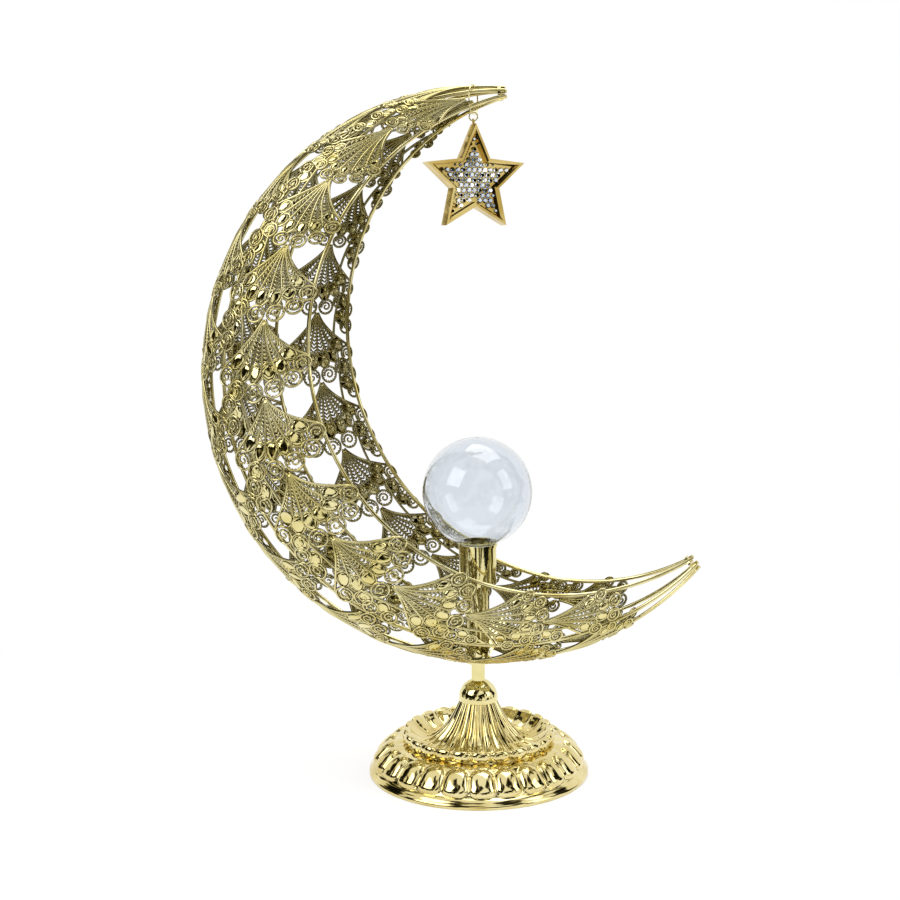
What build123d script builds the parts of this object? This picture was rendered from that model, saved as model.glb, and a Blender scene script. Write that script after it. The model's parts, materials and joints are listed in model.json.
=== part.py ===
from build123d import *
import os
from math import atan2, cos, degrees, hypot, radians, sin, sqrt

# Crescent moon table ornament with a glass globe and a hanging rhinestone star.
# Lengths are in millimetres and angles in degrees.
# The origin is on the floor under the stem. The crescent lies in the XZ plane
# and opens towards +X. The front of the ornament looks towards -Y.

os.makedirs("parts", exist_ok=True)

# Crescent: five wires run from tip to tip, spread round a section circle at mid height.
upper_tip = Vector(21.5, 0, 492.4)
lower_tip = Vector(157.5, 0, 166.0)
crescent_depth = 303.0
section_radius = 61.5
rim_angle = 129.0
side_angle = 64.5
wire_diameter = 2.8
upper_bundle_radius = 3.3
lower_bundle_radius = 4.6
tip_plate_thickness = 2.0
tip_plate_inset = 2.5
tip_plate_margin = 0.4

# Stamped filigree fans: one row between each pair of neighbouring wires.
side_fan_count = 11
outer_fan_count = 12
upper_bare_length = 26.0
lower_bare_length = 62.0
fan_thickness = 0.8
fan_gap = 0.8
fan_seat_height = 0.7
fan_edge_distance = 0.9
fan_neck_width = 5.0
fan_rib_width = 2.2
fan_wide_lobes = 5
fan_narrow_lobes = 3
fan_narrow_half_width = 16.0
fan_lobe_share = 0.235
fan_eye_share = 0.5
fan_flank_rise = 0.2
fan_side_hollow = 0.05
fan_flank_reach = 0.8
fan_widest_place = 0.7
fan_slot_lead = 0.06
fan_slot_margin = 1.25

# Stem with the parts that it carries.
stem_diameter = 10.0
stem_wall = 1.2
stem_foot_z = 36.0
hub_diameter = 18.0
hub_below_wire = 3.0
hub_above_wire = 8.0
hub_clearance = 0.3
wire_end_clearance = 0.6
strap_width = 12.0
strap_thickness = 1.5
strap_seat = 0.3
sleeve_diameter = 17.0
sleeve_wall = 1.5

# Globe and the cup that it stands in.
globe_radius = 40.0
globe_centre_z = 210.0
globe_wall = 1.6
globe_neck_depth = 13.0
cup_diameter = 27.4
cup_wall = 1.0
cup_height = 30.0
cup_floor = 1.6
cup_lip = 0.8
globe_clearance = 0.3
neck_clearance = 0.7

# Fasteners on the threaded ends of the stem.
nut_across_flats = 16.0
nut_height = 6.0
washer_diameter = 19.0
washer_thickness = 1.6

# Round cast base: a flared rim, a tier of large lobes and a tier of beads round a fluted trumpet.
# The stations of a tier give height, radius over the crests and depth of the grooves.
base_radius = 81.4
base_lip_height = 2.2
base_rim_width = 2.6
base_rim_sag = 0.4
base_rim_drop = 0.55
base_foot_radius = 77.4
base_bore = 44.0
base_hollow_radius = 56.0
base_hollow_z = 18.0
lobe_count = 24
lobe_stations = (
    (7.5, 77.0, 0.4),
    (10.5, 76.4, 2.2),
    (14.5, 74.0, 3.4),
    (19.0, 69.6, 3.2),
    (22.5, 64.4, 1.6),
    (23.6, 61.5, 0.5),
)
bead_stations = ((23.6, 54.8, 0.6), (25.4, 56.2, 1.7), (28.0, 56.2, 2.2), (30.3, 54.3, 1.7), (31.5, 51.8, 0.6))
dish_rim_radius = 50.0
dish_z = 22.5
dish_step = 1.0
trumpet_foot_radius = 41.0
trumpet_top_radius = 13.6
trumpet_top_z = 54.0
trumpet_flare = 0.5
trumpet_heights = (0, 0.03, 0.12, 0.3, 0.6, 1)
flute_depth = 1.8
trumpet_wall = 3.0
base_top_plate = 3.0
ball_radius = 14.5
ball_sink = 1.5
felt_thickness = 2.0

# Star with its ring and the loop that it hangs from.
hook_x = -1.5
hook_radius = 10.0
hook_straight = 6.0
hook_wire = 1.0
hook_seat = 0.15
ring_radius = 3.0
ring_wire = 1.0
link_clearance = 0.4
eyelet_radius = 2.0
eyelet_wire = 1.0
star_tip_count = 5
star_radius = 39.0
star_inner_radius = 18.4
star_depth = 10.0
star_lip = 2.8
star_bevel = 1.2
star_recess = 4.6
star_panel_thickness = 1.2
star_facing = 36.0
star_tip_overlap = 1.2
stone_sides = 8
stone_diameter = 3.9
stone_pitch = 4.3
stone_height = 1.9
stone_taper = 32.0
stone_clearance = 0.15

# Values that follow from the sizes above.
wire_radius = wire_diameter / 2
stem_radius = stem_diameter / 2
across_y = Vector(0, 1, 0)
tip_line = lower_tip - upper_tip
outward = across_y.cross(tip_line.normalized())
tip_middle = (upper_tip + lower_tip) * 0.5
section_centre = tip_middle + outward * (crescent_depth - section_radius)
spine = ThreePointArc(upper_tip, section_centre, lower_tip)


# Points of the crescent
def ring_point(centre, radial, radius, angle):
    """Point on a circle across the horn, at an angle from its outward side."""
    return centre + radial * (radius * cos(radians(angle))) + across_y * (radius * sin(radians(angle)))


def horn_arc(angle):
    """Line from tip to tip on the crescent's surface, at an angle round its section."""
    upper_radial = across_y.cross(spine % 0)
    lower_radial = across_y.cross(spine % 1)
    return ThreePointArc(
        ring_point(upper_tip, upper_radial, upper_bundle_radius, angle),
        ring_point(section_centre, outward, section_radius, angle),
        ring_point(lower_tip, lower_radial, lower_bundle_radius, angle),
    )


outer_arc = horn_arc(0)
outer_circle_drop = sqrt(outer_arc.radius**2 - outer_arc.arc_center.X**2)
hub_wire_z = outer_arc.arc_center.Z - outer_circle_drop
hub_fraction = outer_arc.param_at_point(Vector(0, 0, hub_wire_z))
hub_foot_z = hub_wire_z - hub_below_wire
hub_top_z = hub_wire_z + hub_above_wire


# Wires of the crescent
def bent_wire(path):
    """Round wire along a circular arc."""
    turn = degrees(path.length / path.radius)
    with BuildPart() as wire:
        with BuildSketch(Plane(origin=path @ 0, z_dir=path % 0)):
            Circle(wire_radius)
        revolve(axis=Axis(path.arc_center, path.normal()), revolution_arc=turn)
    return wire.part


rim_wire_front = bent_wire(horn_arc(-rim_angle))
rim_wire_back = bent_wire(horn_arc(rim_angle))
side_wire_front = bent_wire(horn_arc(-side_angle))
side_wire_back = bent_wire(horn_arc(side_angle))

# The outer wire is cut where the stem passes, and both ends sit in the hub.
whole_outer_wire = bent_wire(outer_arc)
with BuildPart() as outer_wire:
    add(whole_outer_wire)
    with BuildSketch(Plane.XY.offset(hub_wire_z)):
        Circle(stem_radius + wire_end_clearance)
    extrude(amount=hub_above_wire, both=True, mode=Mode.SUBTRACT)

crescent_wires = [rim_wire_front, rim_wire_back, side_wire_front, side_wire_back, whole_outer_wire]


# Plates that hold the wire ends together
def tip_plate(fraction, inward, bundle_radius):
    """Thin disc across the bundle of wires at one tip."""
    plate_plane = Plane(origin=spine @ fraction, z_dir=inward)
    with BuildPart() as plate:
        with BuildSketch(plate_plane.offset(tip_plate_inset)):
            Circle(bundle_radius + wire_radius + tip_plate_margin)
        extrude(amount=tip_plate_thickness)
        add(crescent_wires, mode=Mode.SUBTRACT)
    return plate.part


tip_plate_upper = tip_plate(0, spine % 0, upper_bundle_radius)
tip_plate_lower = tip_plate(1, (spine % 1) * -1, lower_bundle_radius)


# Filigree fans
def circle_through(first, second, third):
    """Centre of the circle through three points."""
    return ThreePointArc(first, second, third).arc_center


def section_band(arcs, fraction):
    """Thin curved band across a row of fans, seated on the wires at both its ends."""
    wire_a, middle, wire_b = [arc @ fraction for arc in arcs]
    centre = circle_through(wire_a, middle, wire_b)
    radius = (middle - centre).length
    along = (middle - centre).cross(wire_b - centre)
    half_angle = (middle - centre).get_angle(wire_b - centre) - degrees(fan_edge_distance / radius)
    inner_radius = radius + fan_seat_height
    band_plane = Plane(origin=centre, x_dir=middle - centre, z_dir=along)
    with BuildSketch(band_plane) as band:
        with BuildLine():
            inner = CenterArc((0, 0), inner_radius, -half_angle, 2 * half_angle)
            outer = CenterArc((0, 0), inner_radius + fan_thickness, -half_angle, 2 * half_angle)
            Line(inner @ 0, outer @ 0)
            Line(inner @ 1, outer @ 1)
        make_face()
    return band.sketch


def leaf_plane(arcs, fraction):
    """Plane that touches the row at one place, with y towards the fan's apex."""
    wire_a, middle, wire_b = [arc @ fraction for arc in arcs]
    normal = (middle - circle_through(wire_a, middle, wire_b)).normalized()
    apex_direction = (arcs[1] % fraction) * -1
    return Plane(origin=middle, x_dir=apex_direction.cross(normal), z_dir=normal)


def fan_sketch(plane, length, half_width):
    """Pierced outline of a fan: ribs spread from the apex to a row of scroll lobes."""
    lobes = fan_wide_lobes if half_width > fan_narrow_half_width else fan_narrow_lobes
    lobe = half_width * fan_lobe_share * fan_wide_lobes / lobes
    last = (lobes - 1) / 2
    apex_y = length / 2
    foot_y = -length / 2 + lobe
    places = [(k - last) / last for k in range(lobes)]
    centres = [(side * (half_width - lobe), foot_y + fan_flank_rise * length * side**2) for side in places]
    pitch = (half_width - lobe) / last
    flank_x = centres[-1][0] + lobe * fan_flank_reach
    flank_y = centres[-1][1]
    hollow = fan_side_hollow * length
    neck = fan_neck_width / 2
    with BuildSketch(plane) as fan:
        with BuildLine():
            Line((-neck, apex_y), (neck, apex_y))
            for side in (-1, 1):
                middle = (side * ((neck + flank_x) / 2 - hollow), (apex_y + flank_y) / 2)
                ThreePointArc((side * neck, apex_y), middle, (side * flank_x, flank_y))
            Polyline((-flank_x, flank_y), *centres, (flank_x, flank_y))
        make_face()
        with Locations(*centres):
            Circle(lobe)
            Circle(lobe * fan_eye_share, mode=Mode.SUBTRACT)
        for x, y in centres:
            reach = hypot(x, apex_y - y)
            slot_end = (reach - lobe * fan_slot_margin) / reach
            slot_half = (pitch * slot_end - fan_rib_width) / 2
            end_x = x * slot_end
            end_y = apex_y + (y - apex_y) * slot_end
            slot_start = fan_rib_width / pitch + fan_slot_lead
            with BuildLine():
                Polyline(
                    (x * slot_start, apex_y + (y - apex_y) * slot_start),
                    (end_x - slot_half, end_y),
                    (end_x + slot_half, end_y),
                    close=True,
                )
            make_face(mode=Mode.SUBTRACT)
    return fan.sketch


def fan_leaf(angle_a, angle_b, wires, start, end):
    """One stamped fan between two wires, from one place along them to another."""
    arcs = [horn_arc(angle) for angle in (angle_a, (angle_a + angle_b) / 2, angle_b)]
    middle = (start + end) / 2
    widest = start + (end - start) * fan_widest_place
    half_width = (arcs[0] @ widest - arcs[2] @ widest).length / 2
    length = (arcs[1] @ start - arcs[1] @ end).length - fan_gap
    plane = leaf_plane(arcs, middle)
    bands = [section_band(arcs, fraction) for fraction in (start, middle, end)]
    with BuildPart() as leaf:
        loft(bands)
        extrude(fan_sketch(plane, length, half_width), amount=length, both=True, mode=Mode.INTERSECT)
        add(wires, mode=Mode.SUBTRACT)
        with BuildSketch(Plane.XY.offset(hub_wire_z)):
            Circle(hub_diameter / 2 + hub_clearance)
        extrude(amount=hub_above_wire, both=True, mode=Mode.SUBTRACT)
    return leaf.part


def fan_places(angle, count):
    """Start and end of each fan of a row, as shares of the line along the row's middle."""
    row_length = horn_arc(angle).length
    first = upper_bare_length / row_length
    pitch = (1 - lower_bare_length / row_length - first) / count
    return [(first + number * pitch, first + (number + 1) * pitch) for number in range(count)]


def save(piece, label):
    """Name a finished piece and write its file."""
    piece.label = label
    export_step(piece, f"parts/{label}.step")


save(rim_wire_front, "rim_wire_front")
save(rim_wire_back, "rim_wire_back")
save(side_wire_front, "side_wire_front")
save(side_wire_back, "side_wire_back")
save(outer_wire.part, "outer_wire")
save(tip_plate_upper, "tip_plate_upper")
save(tip_plate_lower, "tip_plate_lower")


# Base shell
lobe_angle = 360 / lobe_count
lobe_foot_z = lobe_stations[0][0]
tier_top_z = bead_stations[-1][0]
rim_middle = (base_foot_radius + (base_radius - base_foot_radius) * base_rim_sag, lobe_foot_z * base_rim_drop)
felt_radius = base_radius - base_rim_width


def fluted_section(height, crest, depth):
    """Closed outline of outward arcs, one for each lobe, with grooves between them."""
    groove = crest - depth
    with BuildSketch(Plane.XY.offset(height)) as outline:
        with BuildLine():
            for number in range(lobe_count):
                middle_angle = number * lobe_angle
                ThreePointArc(
                    Vector(groove, 0).rotate(Axis.Z, middle_angle - lobe_angle / 2),
                    Vector(crest, 0).rotate(Axis.Z, middle_angle),
                    Vector(groove, 0).rotate(Axis.Z, middle_angle + lobe_angle / 2),
                )
        make_face()
    return outline.sketch


lobe_sections = [fluted_section(*station) for station in lobe_stations]
bead_sections = [fluted_section(*station) for station in bead_stations]
with BuildPart() as base_shell:
    with BuildSketch(Plane.XZ):
        with BuildLine():
            rim_curve = ThreePointArc((base_radius, base_lip_height), rim_middle, (base_foot_radius, lobe_foot_z))
            Polyline(rim_curve @ 1, (0, lobe_foot_z), (0, 0), (base_radius, 0), rim_curve @ 0)
        make_face()
    revolve(axis=Axis.Z)
    loft(lobe_sections)
    loft(bead_sections)
    # One cut makes the dish on top, the bore, the hollow and the seat of the felt.
    with BuildSketch(Plane.XZ):
        with BuildLine():
            Polyline(
                (0, tier_top_z),
                (dish_rim_radius, tier_top_z),
                (trumpet_foot_radius + dish_step, dish_z),
                (base_bore / 2, dish_z),
                (base_bore / 2, base_hollow_z),
                (base_hollow_radius, base_hollow_z),
                (base_hollow_radius, felt_thickness),
                (felt_radius, felt_thickness),
                (felt_radius, 0),
                (0, 0),
                close=True,
            )
        make_face()
    revolve(axis=Axis.Z, mode=Mode.SUBTRACT)
save(base_shell.part, "base_shell")


# Fluted trumpet that stands in the dish of the base
def trumpet_radius(height):
    """Radius of the trumpet at a share of its height, widest at the foot."""
    return trumpet_foot_radius - (trumpet_foot_radius - trumpet_top_radius) * height**trumpet_flare


def trumpet_z(height):
    """Height above the floor at a share of the trumpet's height."""
    return dish_z + (trumpet_top_z - dish_z) * height


base_inner_top_z = trumpet_top_z - base_top_plate
flute_sections = []
for height in trumpet_heights:
    crest = trumpet_radius(height)
    flute_sections.append(fluted_section(trumpet_z(height), crest, flute_depth * crest / trumpet_foot_radius))

with BuildPart() as base_trumpet:
    loft(flute_sections)
    with BuildSketch(Plane.XZ):
        with BuildLine():
            Polyline(
                (0, base_inner_top_z),
                (0, dish_z),
                (base_bore / 2, dish_z),
                (trumpet_top_radius - trumpet_wall, base_inner_top_z),
                close=True,
            )
        make_face()
    revolve(axis=Axis.Z, mode=Mode.SUBTRACT)
    with Locations((0, 0, trumpet_top_z)):
        Hole(stem_radius)
save(base_trumpet.part, "base_trumpet")

# Pieces inside and under the base
with BuildPart() as base_felt:
    with BuildSketch(Plane.XY):
        Circle(felt_radius)
    extrude(amount=felt_thickness)
save(base_felt.part, "base_felt")


# Fasteners on the stem
def hex_nut(seat_z, label):
    """Hexagon nut on the stem, standing on a seat."""
    with BuildPart() as nut:
        with BuildSketch(Plane.XY.offset(seat_z)):
            RegularPolygon(nut_across_flats / 2, 6, major_radius=False)
            Circle(stem_radius, mode=Mode.SUBTRACT)
        extrude(amount=nut_height)
    save(nut.part, label)


base_washer_z = base_inner_top_z - washer_thickness
with BuildPart() as base_washer:
    with BuildSketch(Plane.XY.offset(base_washer_z)):
        Circle(washer_diameter / 2)
        Circle(stem_radius, mode=Mode.SUBTRACT)
    extrude(amount=washer_thickness)
save(base_washer.part, "base_washer")
hex_nut(base_washer_z - nut_height, "base_nut")

# Ball collar between the base and the stem
with BuildPart() as neck_ball:
    with Locations((0, 0, trumpet_top_z + ball_sink)):
        Sphere(ball_radius)
    split(bisect_by=Plane.XY.offset(trumpet_top_z))
    with Locations((0, 0, trumpet_top_z + ball_radius)):
        Hole(stem_radius)
save(neck_ball.part, "neck_ball")

# Stem, hub and sleeve
cup_radius = cup_diameter / 2
cup_bore_radius = cup_radius - cup_wall
cup_top_z = globe_centre_z - sqrt(globe_radius**2 - cup_bore_radius**2) - globe_clearance
cup_foot_z = cup_top_z - cup_height
cup_nut_z = cup_foot_z + cup_floor
stem_top_z = cup_nut_z + nut_height

with BuildPart() as stem_tube:
    with BuildSketch(Plane.XY.offset(stem_foot_z)):
        Circle(stem_radius)
        Circle(stem_radius - stem_wall, mode=Mode.SUBTRACT)
    extrude(amount=stem_top_z - stem_foot_z)
save(stem_tube.part, "stem_tube")

with BuildPart() as crescent_hub:
    with BuildSketch(Plane.XY.offset(hub_foot_z)):
        Circle(hub_diameter / 2)
        Circle(stem_radius, mode=Mode.SUBTRACT)
    extrude(amount=hub_top_z - hub_foot_z)
    add(whole_outer_wire, mode=Mode.SUBTRACT)
save(crescent_hub.part, "crescent_hub")

with BuildPart() as cup_sleeve:
    with BuildSketch(Plane.XY.offset(hub_top_z)):
        Circle(sleeve_diameter / 2)
        Circle(sleeve_diameter / 2 - sleeve_wall, mode=Mode.SUBTRACT)
    extrude(amount=cup_foot_z - hub_top_z)
save(cup_sleeve.part, "cup_sleeve")

# Strap across the trough, straight from each side wire to the hub in its middle
strap_points = [horn_arc(angle) @ hub_fraction for angle in (-side_angle, 0, side_angle)]
strap_centre = circle_through(*strap_points)
strap_radial = strap_points[1] - strap_centre
strap_turn = radians(strap_radial.get_angle(strap_points[2] - strap_centre))
strap_plane = Plane(origin=strap_centre, x_dir=strap_radial, z_dir=strap_radial.cross(across_y))


def strap_line(inset):
    """Bent line from side wire to side wire, inside the wires' centres by an inset."""
    reach = strap_radial.length
    end_x = reach * cos(strap_turn) - inset * cos(strap_turn / 2)
    end_y = reach * sin(strap_turn) - inset * sin(strap_turn / 2)
    return [(end_x, -end_y), (reach - inset / cos(strap_turn / 2), 0), (end_x, end_y)]


strap_inset = wire_radius - strap_seat
with BuildPart() as saddle_strap:
    with BuildSketch(strap_plane):
        with BuildLine():
            strap_back = strap_line(strap_inset + strap_thickness)
            Polyline(*strap_line(strap_inset), *reversed(strap_back), close=True)
        make_face()
    extrude(amount=strap_width / 2, both=True)
    add([side_wire_front, side_wire_back, whole_outer_wire], mode=Mode.SUBTRACT)
    with BuildSketch(Plane.XY.offset(hub_foot_z)):
        Circle(hub_diameter / 2)
    extrude(amount=cup_foot_z - hub_foot_z, mode=Mode.SUBTRACT)
save(saddle_strap.part, "saddle_strap")

# Cup for the globe
with BuildPart() as globe_cup:
    with BuildSketch(Plane.XY.offset(cup_foot_z)):
        Circle(cup_radius)
        Circle(stem_radius, mode=Mode.SUBTRACT)
    extrude(amount=cup_floor)
    with BuildSketch(Plane.XY.offset(cup_nut_z)):
        Circle(cup_radius)
        Circle(cup_bore_radius, mode=Mode.SUBTRACT)
    extrude(amount=cup_top_z - cup_nut_z)
    with BuildSketch(Plane.XY.offset(cup_top_z - 2 * cup_lip)):
        Circle(cup_radius + cup_lip)
        Circle(cup_radius, mode=Mode.SUBTRACT)
    extrude(amount=2 * cup_lip)
save(globe_cup.part, "globe_cup")
hex_nut(cup_nut_z, "cup_nut")

# Glass globe with a short open neck
neck_radius = cup_bore_radius - neck_clearance
bore_radius = neck_radius - globe_wall
hollow_radius = globe_radius - globe_wall
neck_foot_z = cup_top_z - globe_neck_depth
with BuildPart() as glass_globe:
    with BuildSketch(Plane.XZ):
        with BuildLine():
            outside = ThreePointArc(
                (neck_radius, globe_centre_z - sqrt(globe_radius**2 - neck_radius**2)),
                (globe_radius, globe_centre_z),
                (0, globe_centre_z + globe_radius),
            )
            inside = ThreePointArc(
                (bore_radius, globe_centre_z - sqrt(hollow_radius**2 - bore_radius**2)),
                (hollow_radius, globe_centre_z),
                (0, globe_centre_z + hollow_radius),
            )
            Line(outside @ 1, inside @ 1)
            Polyline(outside @ 0, (neck_radius, neck_foot_z), (bore_radius, neck_foot_z), inside @ 0)
        make_face()
    revolve(axis=Axis.Z)
save(glass_globe.part, "glass_globe")


# Loop round the upper horn, and the ring that hangs in it
hook_wire_z = outer_arc.arc_center.Z + sqrt(outer_arc.radius**2 - (hook_x - outer_arc.arc_center.X)**2)
hook_centre_z = hook_wire_z + wire_radius + hook_wire / 2 - hook_seat - hook_radius
hook_foot_z = hook_centre_z - hook_radius
ring_lift = (hook_wire + ring_wire) / 2 + link_clearance
ring_centre_z = hook_foot_z + ring_lift - ring_radius
ring_foot_z = ring_centre_z - ring_radius
eyelet_lift = (ring_wire + eyelet_wire) / 2 + link_clearance
eyelet_centre_z = ring_foot_z + eyelet_lift - eyelet_radius
star_tip_z = eyelet_centre_z - eyelet_radius - eyelet_wire / 2 + star_tip_overlap
star_centre = Vector(hook_x, 0, star_tip_z - star_radius)

hook_plane = Plane(origin=(hook_x, 0, hook_centre_z), x_dir=(0, 1, 0), z_dir=(1, 0, 0))
with BuildSketch(hook_plane) as hook_outline:
    SlotCenterToCenter(hook_straight, 2 * hook_radius)
hook_path = hook_outline.sketch.wires()[0]
with BuildPart() as star_hook:
    with BuildSketch(Plane(origin=hook_path @ 0, z_dir=hook_path % 0)):
        Circle(hook_wire / 2)
    sweep(path=hook_path)
    add(whole_outer_wire, mode=Mode.SUBTRACT)
save(star_hook.part, "star_hook")

with BuildPart() as jump_ring:
    with Locations(Plane(origin=(hook_x, 0, ring_centre_z), z_dir=(0, 1, 0))):
        Torus(ring_radius, ring_wire / 2)
save(jump_ring.part, "jump_ring")

# Star with its panel and stones
facing = radians(star_facing)
star_across = (cos(facing), sin(facing), 0)
star_forward = (sin(facing), -cos(facing), 0)
star_plane = Plane(origin=star_centre, x_dir=star_across, z_dir=star_forward)
star_front = star_plane.offset(star_depth / 2)
star_field = star_front.offset(-star_recess)
tip_step = radians(180 / star_tip_count)
edge_run = Vector(star_inner_radius * sin(tip_step), star_radius - star_inner_radius * cos(tip_step))
edge_distance = star_radius * star_inner_radius * sin(tip_step) / edge_run.length
field_scale = (edge_distance - star_lip) / edge_distance


def star_points(scale):
    """Corners of a five-pointed star with its first tip upwards."""
    corners = []
    for number in range(2 * star_tip_count):
        reach = scale * (star_inner_radius if number % 2 else star_radius)
        corners.append((reach * sin(number * tip_step), reach * cos(number * tip_step)))
    return corners


def edge_clearance(x, y):
    """Distance of a point inside the star from the nearest edge of its outline."""
    turn = abs(atan2(x, y)) % (2 * tip_step)
    fold = min(turn, 2 * tip_step - turn)
    normal = edge_run.normalized()
    return edge_distance - hypot(x, y) * (cos(fold) * normal.X + sin(fold) * normal.Y)


with BuildPart() as star_frame:
    with BuildSketch(star_plane.offset(-star_depth / 2)):
        Polygon(*star_points(1), align=None)
        Polygon(*star_points(field_scale), align=None, mode=Mode.SUBTRACT)
    extrude(amount=star_depth)
    front_face = star_frame.faces().sort_by(Axis(star_centre, star_forward))[-1]
    chamfer(front_face.inner_wires()[0].edges(), star_bevel)
    with Locations(Plane(origin=(hook_x, 0, eyelet_centre_z), z_dir=(1, 0, 0))):
        Torus(eyelet_radius, eyelet_wire / 2)
save(star_frame.part, "star_frame")

with BuildPart() as star_panel:
    with BuildSketch(star_field.offset(-star_panel_thickness)):
        Polygon(*star_points(field_scale), align=None)
    extrude(amount=star_panel_thickness)
save(star_panel.part, "star_panel")

stone_rows = int(star_radius / stone_pitch)
stone_places = []
for row in range(-stone_rows, stone_rows + 1):
    for column in range(-stone_rows, stone_rows + 1):
        place = ((column + 0.5 * (row % 2)) * stone_pitch, row * stone_pitch)
        if edge_clearance(*place) > star_lip + stone_diameter / 2 + stone_clearance:
            stone_places.append(place)

with BuildPart() as star_stones:
    with BuildSketch(star_field):
        with Locations(*stone_places):
            RegularPolygon(stone_diameter / 2, stone_sides)
    extrude(amount=stone_height, taper=stone_taper)
save(star_stones.part, "star_stones")

# Rows of fans, with the back rows as mirror images of the front ones
side_row_angle = (rim_angle + side_angle) / 2
for number, (start, end) in enumerate(fan_places(side_row_angle, side_fan_count), 1):
    side_wires = [rim_wire_front, side_wire_front]
    with BuildPart() as front_fan:
        add(fan_leaf(-rim_angle, -side_angle, side_wires, start, end))
    save(front_fan.part, f"side_fan_front_{number:02d}")
    with BuildPart() as back_fan:
        add(front_fan.part.mirror(Plane.XZ))
    save(back_fan.part, f"side_fan_back_{number:02d}")

for number, (start, end) in enumerate(fan_places(side_angle / 2, outer_fan_count), 1):
    outer_wires = [side_wire_front, whole_outer_wire]
    with BuildPart() as outer_pair:
        add(fan_leaf(-side_angle, 0, outer_wires, start, end))
        mirror(about=Plane.XZ)
    save(outer_pair.part, f"outer_fans_{number:02d}")
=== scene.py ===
"""Looks of a gilt crescent ornament with a clear globe and a hanging rhinestone star.

Sizes of the object and the camera's place are in millimetres, and are turned into metres when used.
The comments of the materials, the floor and the lamps name their own units.
"""
import json
import math

import bpy
import numpy as np
from mathutils import Matrix, Vector


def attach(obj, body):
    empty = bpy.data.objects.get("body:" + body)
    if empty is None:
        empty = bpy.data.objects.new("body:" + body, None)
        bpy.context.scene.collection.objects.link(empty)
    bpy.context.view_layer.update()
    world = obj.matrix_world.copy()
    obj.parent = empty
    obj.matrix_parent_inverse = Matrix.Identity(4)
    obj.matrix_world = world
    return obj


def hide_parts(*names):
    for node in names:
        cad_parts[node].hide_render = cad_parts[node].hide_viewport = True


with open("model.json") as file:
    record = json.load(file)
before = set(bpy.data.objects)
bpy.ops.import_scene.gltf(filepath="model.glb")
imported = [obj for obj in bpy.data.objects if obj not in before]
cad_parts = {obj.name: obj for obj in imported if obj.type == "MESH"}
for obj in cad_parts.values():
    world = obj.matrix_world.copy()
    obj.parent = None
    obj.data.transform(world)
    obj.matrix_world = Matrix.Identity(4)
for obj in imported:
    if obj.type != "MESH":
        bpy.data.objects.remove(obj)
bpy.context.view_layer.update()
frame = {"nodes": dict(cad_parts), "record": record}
nodes = frame["nodes"]
MM = 0.001

# Camera at the photograph's viewing angle: azimuth in degrees, then pan, pitch and roll in radians
CAMERA_AZIMUTH = 13.17
CAMERA_DISTANCE = 1034.0
CAMERA_HEIGHT = 385.4
CAMERA_PAN = -0.019
CAMERA_PITCH = -0.139
CAMERA_ROLL = -0.0075
CAMERA_LENS = 57.64
SENSOR_WIDTH = 36.0

# Crescent: the same sizes as in the part's source, with angles in degrees
UPPER_TIP = np.array((21.5, 0.0, 492.4))
LOWER_TIP = np.array((157.5, 0.0, 166.0))
CRESCENT_DEPTH = 303.0
SECTION_RADIUS = 61.5
RIM_ANGLE = 129.0
SIDE_ANGLE = 64.5
UPPER_BUNDLE_RADIUS = 3.3
LOWER_BUNDLE_RADIUS = 4.6
SIDE_FAN_COUNT = 11
OUTER_FAN_COUNT = 12
UPPER_BARE_LENGTH = 26.0
LOWER_BARE_LENGTH = 62.0

# Filigree pattern of one fan. Shares are of the fan's half width, of its length or of a scroll's radius,
# and steps are the points along a line.
ROW_SAMPLES = 9
SHARE_LIMITS = (0.001, 0.999)
WIDTH_PLACE = 0.7
FULL_UNITS = 6
UNITS_BY_HALF_WIDTH = ((17.0, FULL_UNITS), (9.0, 4), (0.0, 2))
SCROLL_SHARE = 0.212
NARROW_SCROLL_SHARE = 0.40
SCROLL_OVERHANG = 4.2
FRINGE_REACH = 0.98
FRINGE_FLANK = 0.56
FRINGE_ROUND = 0.75
RIB_STEPS = 41
RIB_BEND = (0.20, 0.54)
APEX_SHARE = 0.02
LADDER_START = 0.13
SHEET_HEIGHT = 0.75
RIB_HALF_WIDTH = 0.90
RIB_HEIGHT = 1.1
SIDE_RIB_HALF_WIDTH = 1.05
SIDE_RIB_HEIGHT = 1.5
RUNG_HALF_WIDTH = 0.86
RUNG_HEIGHT = 0.75
RUNG_PITCH = 2.6
# Share of full tone that the rungs keep, so painted shade darkens them all over
RUNG_PAINTED_LIGHT = 0.7
RUNG_SLANT = 0.45
SCROLL_HALF_WIDTH = 0.90
SCROLL_HEIGHT = 1.25
SCROLL_LIFT = 0.5
SCROLL_TURNS = 1.3
SCROLL_RING = 0.90
SCROLL_START = 0.62
SCROLL_CLOSE = 0.8
SCROLL_TAPER = 0.7
SCROLL_STEPS = 26
RING_STEPS = 22
BEAD_RING = 0.74
BEAD_COUNT = 15
BEAD_RADIUS = 0.5
BOSS_HALF_LENGTH = 0.86
BOSS_HALF_WIDTH = 0.64
BOSS_HEIGHT = 1.0
BOSS_BORDER = 1.16
BOSS_STEP = 0.92
BOSS_TILT = 0.22
BOSS_SEED = 7
DROP_BLUNTNESS = 0.28
FLANK_PLACES = (-0.13, 0.12)
FLANK_REACH = 0.70
FLANK_STEP = (0.14, 0.12)
FLANK_STEM = ((0.60, -0.28), (0.46, 0.06), (0.46, 0.40))
FLANK_LEAST_HALF_WIDTH = 12.0
STEM_STEPS = 12

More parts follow.
